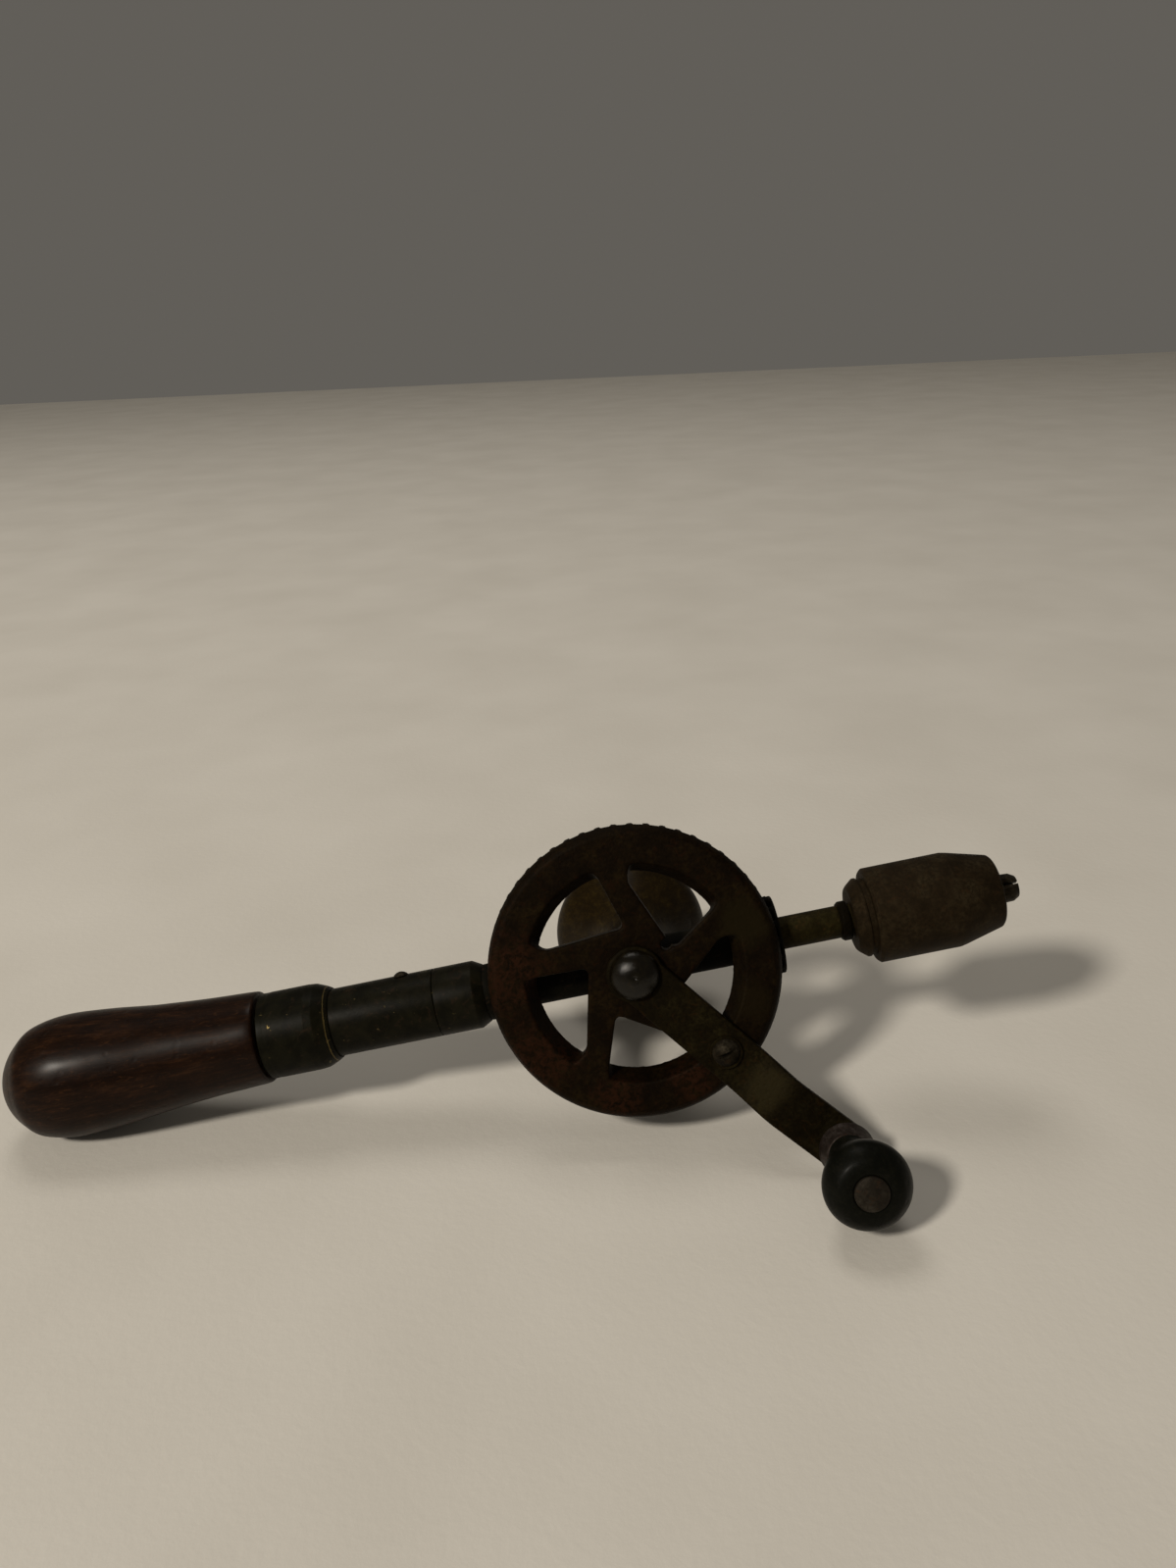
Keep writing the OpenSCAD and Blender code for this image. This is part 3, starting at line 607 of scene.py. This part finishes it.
BRIGHT_STEEL = patina(
    "bright_steel", ALONG, (0.2, 0.2, 0.19), (0.36, 0.36, 0.35), (0.5, 0.5, 0.49),
    (0.3, 0.27, 0.22), metallic=0.9, gloss=(0.22, 0.38), pits=0.02,
)
BRONZE = patina(
    "bush_bronze", ALONG, (0.12, 0.07, 0.025), (0.24, 0.15, 0.06), (0.34, 0.23, 0.1),
    (0.16, 0.12, 0.05), metallic=0.85, gloss=(0.3, 0.5), pits=0.03,
)


# ---------- handle, ferrule and barrel ----------


def worn(points, depth, scale, seed):
    """Sinks a turned surface by noise, as years of use do. It never stands prouder."""
    out = points.copy()
    for i, p in enumerate(points):
        r = math.hypot(p[0], p[1])
        if r > 1:
            dent = 0.5 + 0.5 * noise.fractal(Vector(p) * scale + Vector((seed, 0, 0)), 1, 2, 3)
            sink = depth * min(1.0, max(0.0, dent))
            out[i, :2] *= (r - sink) / r
    return out


grip = curve([
    (-191, 0), (-190.1, 5), (-187.6, 9.9), (-183.9, 13.9), (-179.4, 16.8), (-170, 18.3),
    (-155.6, 17.3), (-141.3, 15.7), (-125, 14.4), (-113.4, 13.8),
], 10)
handle = turned(
    [*grip, *rounded([(-113.4, 13.8), (-111.4, 13.6, 0.9), (-111.4, 11.5)])[1:],
     (-111.4, 0)],
    160, shape=lambda p: worn(p, 0.35, 0.045, 3.0),
)
add("wood_grip", handle, ALONG, "frame", HANDLE_WOOD, ["wood_handle"])

ferrule = turned(rounded([
    (-110.6, 11.6), (-110.6, 12.7, 0.35), (-108.6, 12.62, 0.5), (-107.9, 12.7, 0.5),
    (-96.6, 12.7, 1.2), (-94.2, 12.45, 1.6), (-91.2, 11.2, 1.6), (-89.9, 10.45, 0.3),
    (-89.9, 10.05), (-91.4, 10.05), (-94.1, 11.6), (-110.6, 11.6),
])[:-1], 128, closed=True, shape=lambda p: worn(p, 0.12, 0.12, 9.0))
add("ferrule", ferrule, ALONG, "frame", FERRULE_ENAMEL, ["handle_ferrule"])

tube = turned(rounded([
    (-91.9, 8.05), (-91.9, 10, 0.2), (-58.9, 10, 0.3), (-58.9, 8.05), (-91.9, 8.05),
])[:-1], 128, closed=True, shape=lambda p: worn(p, 0.08, 0.1, 5.0))
add("barrel", tube, ALONG, "frame", BLACK_ENAMEL, ["barrel_tube"])

sleeve = turned(rounded([
    (-58.8, 8.05), (-58.8, 10, 0.25), (-47.2, 10, 0.8), (-44.25, 8.4, 0.25), (-44.25, 8.05),
    (-58.8, 8.05),
])[:-1], 128, closed=True, shape=lambda p: worn(p, 0.06, 0.12, 7.0))
add("barrel_sleeve", sleeve, ALONG, "frame", BLACK_ENAMEL, ["front_sleeve"])

# ---------- frame casting ----------

bar = turned(rounded([
    (-86, 0), (-86, 8), (-44.2, 8), (-44.2, 8.3), (-41, 8.3, 3), (-37, 6.6, 3),
    (-34, 6.5), (31.2, 6.5, 0.4), (31.2, 0),
]), 96)
boss = turned([(-11, 0), (-11, 9), (6.6, 9), (6.6, 0)], 96)
boss.transform(ALONG.inverted() @ FRONT)
frame_mesh = casting(
    joined(bar, boss), 0.45, 7, 26000,
    weight=lambda p: np.where(p[:, 2] < -45, 0.1, 1.0),
)
add("frame_casting", frame_mesh, ALONG, "frame", CASTING_BLACK,
    ["main_frame"])

# ---------- side knob ----------

side = curve([
    (12.6, 9), (17, 8.4), (23, 8.3), (31, 9.6), (40, 13.6), (48, 19.6), (53.5, 24),
    (57.5, 25.5), (61.3, 24.6), (64.1, 21), (65.9, 15), (66.5, 8),
], 8)
side_mesh = turned(
    [(12.6, 4.1), *side[:-1], *rounded([(66.5, 9), (66.5, 6.2, 0.4), (63.4, 6.2), (63.4, 4.1)])],
    144, closed=True, shape=lambda p: worn(p, 0.2, 0.05, 21.0),
)
add("side_grip", side_mesh, BACK, "frame", SIDE_WOOD, ["side_knob"])

# ---------- crank wheel ----------

RIM_INNER, DRAFT = 28.2, 3.1
DRAFT_BACK, DRAFT_REACH, DRAFT_FULL = 9.5, 3.2, 0.7
SPOKES_END = 31.5  # the castings' softest edges are inside this radius
WHEEL_FRONT = 16.0


def drafted(mesh):
    """Slopes the rim's inner wall, so that it is wider at the front."""
    co = coordinates(mesh) / MM
    r = np.hypot(co[:, 0], co[:, 1])
    off = np.abs(r - RIM_INNER)
    near_rim = np.where(off < DRAFT_FULL, 1, np.clip(1 - off / DRAFT_REACH, 0, 1))
    front = np.clip((co[:, 2] - DRAFT_BACK) / (WHEEL_FRONT - DRAFT_BACK), 0, 1)
    grow = 1 + DRAFT * near_rim * front / np.maximum(r, 1)
    co[:, :2] *= grow[:, None]
    set_coordinates(mesh, co * MM)


wheel_mesh = local_copy("drive_wheel", FRONT)
drafted(wheel_mesh)
shoulder = turned(rounded([  # smooth front edge, which half hides the teeth behind it
    (12.2, 37), (12.2, 41.7, 0.2), (13, 42, 0.5), (15.3, 40.8, 0.8), (15.3, 37), (12.2, 37),
])[:-1], 192, closed=True)
wheel_mesh = casting(
    joined(wheel_mesh, shoulder), 0.36, 8, 90000,
    weight=lambda p: np.where(np.hypot(p[:, 0], p[:, 1]) > SPOKES_END, 0.35, 1.0),
)
add("crank_wheel", wheel_mesh, FRONT, "wheel", WHEEL_IRON, ["drive_wheel"])

# ---------- crank arm ----------

ARM_HALF, ARM_T, HUB_END, ARM_END, END_CORNER = 7.1, 2.9, 8.0, 79.8, 3.6
ARM_EDGE = 0.55
BEND_REACH = 3.5
PITCH = 0.1

along = np.arange(-HUB_END, ARM_END + 0.01, PITCH)


def eased(centre):
    t = np.clip((along - centre) / (2 * BEND_REACH) + 0.5, 0, 1)
    return t * t * (3 - 2 * t)


def summed(rate):
    return np.concatenate([[0], np.cumsum((rate[1:] + rate[:-1]) / 2 * PITCH)])


arm_turn = math.radians(SWING) * eased(OUTER_AT)
arm_slope = math.atan(STEP_H / STEP_L) * (eased(STEP_AT) - eased(OUTER_AT))
arm_x = summed(np.cos(arm_turn)) - HUB_END
arm_y = summed(np.sin(arm_turn))
arm_z = summed(np.tan(arm_slope))


def arm_half_width(s):
    if s < 0:
        return math.sqrt(max(HUB_END ** 2 - s * s, 0))
    if s < 4:
        return max(math.sqrt(HUB_END ** 2 - s * s), ARM_HALF)
    into = s - (ARM_END - END_CORNER)
    if into > 0:
        return ARM_HALF - END_CORNER + math.sqrt(max(END_CORNER ** 2 - into * into, 0))
    return ARM_HALF


def on_arm(s, v, depth):
    """A point at s along the arm, v across it and depth below its front face."""
    x, y, z, swing, slope = (
        np.interp(s, along, values) for values in (arm_x, arm_y, arm_z, arm_turn, arm_slope)
    )
    x += depth * math.sin(slope)
    return (x - v * math.sin(swing), y + v * math.cos(swing),
            ARM_FRONT + z - depth * math.cos(slope))


def arm_section(s, edge_in):
    """A rounded section: edge_in thins it where the end faces round off."""
    half = max(arm_half_width(s) - ARM_EDGE, 0.02)
    top, low = edge_in, ARM_T - edge_in
    round_t = min(ARM_EDGE, (low - top) / 2)
    ring = []
    for cx, cz, a0 in ((half, top + round_t, 0), (-half, top + round_t, 90),
                       (-half, low - round_t, 180), (half, low - round_t, 270)):
        for k in range(5):
            a = math.radians(a0 + 90 * k / 4)
            ring.append(on_arm(s, cx + ARM_EDGE * math.cos(a), cz - round_t * math.sin(a)))
    return ring


def arm_mesh():
    ends = [1 - math.cos(math.radians(a)) for a in range(0, 91, 6)]
    stations = [-HUB_END + HUB_END * e for e in ends]
    stations += [1, 2, 3, 3.7, 4.5] + [6 + 4 * k for k in range(8)]
    stations += [37 + 0.8 * k for k in range(27)] + [60, 64, 68, 72, 75.5]
    stations += [ARM_END - END_CORNER * e for e in ends[::-1]]
    points, faces, size = [], [], 20
    for s in stations:
        off = min(s + HUB_END, ARM_END - s)
        inset = ARM_EDGE - math.sqrt(max(ARM_EDGE ** 2 - max(ARM_EDGE - off, 0) ** 2, 0))
        points += arm_section(s, inset)
    for i in range(len(stations) - 1):
        for k in range(size):
            n = (k + 1) % size
            faces.append([i * size + k, i * size + n, (i + 1) * size + n, (i + 1) * size + k])
    last = (len(stations) - 1) * size
    faces += [list(range(size))[::-1], [last + k for k in range(size)]]
    mesh = mesh_from(points, faces)
    fix_normals(mesh)
    return mesh


def pin(r, z0, z1):
    return turned([(z0, 0), (z0, r), (z1, r), (z1, 0)], 64)


RIM_SCREW_AT, RIM_SCREW_R = 33.4, 1.95
RIVET_R = 2.3
arm = cut(
    arm_mesh(),
    (pin(5.0, 10, 25), Matrix.Identity(4)),
    (pin(RIM_SCREW_R + 0.05, 10, 25), shift(RIM_SCREW_AT)),
    (pin(RIVET_R + 0.05, -6, 3), ON_ARM),
)
add("crank_bar", arm, ARM, "wheel", ARM_STEEL, ["crank_arm"])

# ---------- stud, screws and rivet ----------

dome = curve([(19.15, 7.1), (20.2, 6.8), (21.4, 5.9), (22.5, 4.3), (23.2, 2.3), (23.35, 0.75)], 6)
stud = turned(rounded([
    (-1, 0), (-1, 3.95), (6.7, 3.95), (6.7, 4.93), (19.1, 4.93), (19.1, 6.9, 0.15),
    (19.15, 7.1)])
    + dome[1:] + [(23.05, 0.3), (22.95, 0)], 128)
add("hub_stud", stud, FRONT, "frame", STUD_STEEL, ["wheel_stud"])


def slotted(head_r, head_h, slot, shank_r, shank_l, turn_slot):
    """A dome-headed screw whose head stands on local z = 0."""
    ball = (head_r ** 2 + head_h ** 2) / (2 * head_h)
    arc = [(head_h - ball + math.sqrt(ball ** 2 - r * r), r)
           for r in np.linspace(head_r, 0, 12)]
    body = turned(rounded([(-shank_l, 0), (-shank_l, shank_r), (0, shank_r),
                           (0, head_r, 0.2), arc[0]]) + arc[1:], 72)
    groove = block(-head_r - 1, head_r + 1, -slot / 2, slot / 2, head_h * 0.45, head_h + 1)
    return bevelled(cut(body, (groove, turn("Z", turn_slot))), 0.12)


rim_screw = slotted(3.9, 2.0, 0.9, RIM_SCREW_R, 8.5, 66)
add("rim_screw_head", rim_screw, ARM @ shift(RIM_SCREW_AT, 0, 19.8), "wheel", WORN_STEEL,
    ["rim_screw"])
tube_screw = slotted(2.2, 1.1, 0.5, 1.45, 5.2, 35)
add("barrel_screw_head", tube_screw, DRILL @ shift(-68.5, 0, 10.02), "frame", WORN_STEEL,
    ["barrel_screw"])

COLLAR_T, COLLAR_R = 5.2, 7.9
KNOB_L = 27.2
RIVET_TOP = COLLAR_T + KNOB_L
rivet = turned(rounded([
    (-4.3, 0), (-4.3, 3.3, 0.5), (-2.92, 3.6, 0.1), (-2.92, RIVET_R),
    (RIVET_TOP - 0.8, RIVET_R), (RIVET_TOP - 0.8, 4.5), (RIVET_TOP + 0.25, 4.5, 0.35),
    (RIVET_TOP + 0.75, 3.2, 2), (RIVET_TOP + 0.9, 0),
]), 96)
add("knob_rivet_pin", rivet, KNOB, "wheel", RIVET_STEEL, ["knob_rivet"])
collar = turned(rounded([
    (0.02, 2.35), (0.02, COLLAR_R, 0.3), (1.2, COLLAR_R - 0.45, 1),
    (COLLAR_T - 0.05, COLLAR_R - 1.7, 0.5), (COLLAR_T - 0.05, 2.35), (0.02, 2.35),
])[:-1], 96, closed=True)
add("knob_neck", collar, KNOB, "wheel", COLLAR_STEEL, ["knob_collar"])

# ---------- crank knob ----------

knob_side = curve([
    (0.1, 6), (1.8, 5.7), (4.2, 5.9), (8, 7), (12.5, 8.9), (17.2, 10.8), (20.8, 11.6),
    (23.5, 10.9), (25.9, 8.9), (26.75, 6.9), (26.9, 5.2),
], 8)
knob_mesh = turned(
    [(0.1, 2.36), *knob_side, *rounded([(26.85, 4.9), (26.7, 4.66, 0.15), (26.1, 4.66),
                                        (26.1, 2.36)])],
    128, closed=True, shape=lambda p: worn(p, 0.12, 0.09, 33.0),
)
add("crank_grip", knob_mesh, KNOB @ shift(0, 0, COLLAR_T), "crank_knob", BLACK_WOOD,
    ["crank_knob"])

# ---------- spindle and chuck ----------

spindle_mesh = turned(rounded([
    (12.15, 0), (12.15, 3.1), (12.65, 3.6), (20.4, 3.6), (20.4, 2.9), (23.6, 2.9),
    (23.6, 3.6), (31.4, 3.6), (31.4, 4), (43.35, 4), (43.35, 4.75), (61.2, 4.75, 0.4),
    (61.2, 4.6), (82, 4.6), (82, 0),
]), 96)
add("spindle_rod", spindle_mesh, ALONG, "spindle", SPINDLE_STEEL, ["spindle"])
nut = turned(rounded([
    (61.4, 4.65), (61.4, 5.2, 0.2), (62.2, 5.8, 0.4), (64.3, 5.8, 0.4), (64.3, 4.65),
    (61.4, 4.65),
])[:-1], 96, closed=True)
add("spindle_nut", nut, ALONG, "spindle", NUT_STEEL, ["spindle_collar"])
pinion = casting(local_copy("drive_pinion", ALONG), 0.22, 4, 30000)
add("pinion_gear", pinion, ALONG, "spindle", CASTING_BLACK,
    ["drive_pinion"])
shell = turned(rounded([
    (70.3, 11.2), (70.3, 13.2, 0.25), (71.1, 14, 0.5), (94.3, 14, 1.5), (96, 13.65, 2),
    (107.1, 10.75, 0.6), (107.7, 10.1, 0.5), (107.7, 6.9, 0.5), (105.95, 6.9),
    (105.95, 8.95), (99.6, 11.2), (70.3, 11.2),
])[:-1], 160, closed=True, shape=lambda p: worn(p, 0.06, 0.15, 41.0))
add("chuck_sleeve", shell, ALONG, "shell", CHUCK_STEEL, ["chuck_shell"])

# ---------- CAD nodes that show as they are ----------

KEPT = {
    "chuck_body": (CHUCK_STEEL, 0.25), "nose_ring": (WORN_STEEL, 0.12),
    "jaw_1": (WORN_STEEL, 0.18), "jaw_2": (WORN_STEEL, 0.18), "jaw_3": (WORN_STEEL, 0.18),
    "hub_washer": (WORN_STEEL, 0.1), "side_knob_washer": (WORN_STEEL, 0.15),
    "side_knob_stud": (WORN_STEEL, 0.15), "retaining_screw": (WORN_STEEL, 0.12),
    "rim_screw_washer": (ARM_STEEL, 0.12), "handle_tang": (WORN_STEEL, 0),
    "spindle_bush": (BRONZE, 0), "thrust_ball": (BRIGHT_STEEL, 0),
    "pinion_pin": (BRIGHT_STEEL, 0),
}
for name, obj in NODES.items():
    if obj.hide_render:
        continue
    material, width = KEPT.get(name, (BRIGHT_STEEL, 0))
    obj.data.materials.clear()
    obj.data.materials.append(material)
    if width:
        weld = obj.modifiers.new("weld", "WELD")
        weld.merge_threshold = WELD_GAP * MM
        bevel = obj.modifiers.new("bevel", "BEVEL")
        bevel.width = width * MM
        bevel.segments = 2
        bevel.limit_method = "ANGLE"
        bevel.angle_limit = math.radians(EDGE_ANGLE)
        normals = obj.modifiers.new("normals", "WEIGHTED_NORMAL")
        normals.keep_sharp = True

# ---------- stage, light and camera ----------

FLOOR_HALF = 3.0
floor_shader = Shader("floor", Matrix.Identity(4), Roughness=0.9, Specular_IOR_Level=0.2)
fine = floor_shader.noise(0.35, 6, 0.6)
broad = floor_shader.noise(0.012, 3, 0.5)
tone = floor_shader.ramp(broad, (0.3, (0.74, 0.705, 0.64)), (0.7, (0.8, 0.765, 0.7)))
floor_material = floor_shader.finish(tone, normal=floor_shader.bump(fine, 0.12))
floor_mesh = bpy.data.meshes.new("floor")
floor_mesh.from_pydata(
    [(-FLOOR_HALF, -FLOOR_HALF, 0), (FLOOR_HALF, -FLOOR_HALF, 0),
     (FLOOR_HALF, FLOOR_HALF, 0), (-FLOOR_HALF, FLOOR_HALF, 0)], [], [[0, 1, 2, 3]])
floor = bpy.data.objects.new("floor", floor_mesh)
floor_mesh.materials.append(floor_material)
bpy.context.scene.collection.objects.link(floor)

world = bpy.data.worlds.new("studio")
world.use_nodes = True
world.node_tree.nodes["Background"].inputs["Color"].default_value = (1.0, 0.93, 0.82, 1)
world.node_tree.nodes["Background"].inputs["Strength"].default_value = 0.12
bpy.context.scene.world = world


def area_light(name, place, target, size, power, color):
    data = bpy.data.lights.new(name, "AREA")
    data.shape = "DISK"
    data.size = size
    data.energy = power
    data.color = color
    obj = bpy.data.objects.new(name, data)
    bpy.context.scene.collection.objects.link(obj)
    obj.location = place
    direction = Vector(target) - Vector(place)
    obj.rotation_euler = direction.to_track_quat("-Z", "Y").to_euler()
    return obj


area_light("key", (-1.87, -1.80, 2.19), (0, 0, 0.02), 0.46, 66.0, (1.0, 0.93, 0.82))
area_light("ceiling", (-0.3, 0.9, 2.2), (0, 0.1, 0), 0.9, 8.0, (1.0, 0.95, 0.88))
bpy.context.scene.view_settings.view_transform = "Standard"

# the camera's place in the drill's own frame
CAMERA_AT = Vector((7.204, -346.062, 63.974)) * MM
LOOK = Vector((-0.02817, 0.99923, -0.02743))
RIGHT = Vector((0.97919, 0.02207, -0.20174))
PHOTO_HEIGHT_OVER_FOCAL = 1599 / 1200
camera_data = bpy.data.cameras.new("camera")
camera_data.sensor_fit = "VERTICAL"
camera_data.sensor_height = 36
camera_data.lens = 36 / PHOTO_HEIGHT_OVER_FOCAL
camera_data.clip_start = 0.01
camera = bpy.data.objects.new("camera", camera_data)
bpy.context.scene.collection.objects.link(camera)
back = -LOOK.normalized()
right = (RIGHT - back * RIGHT.dot(back)).normalized()
camera.matrix_world = LAY @ Matrix.Translation(CAMERA_AT) @ Matrix(
    (right, back.cross(right), back)
).transposed().to_4x4()
bpy.context.scene.camera = camera
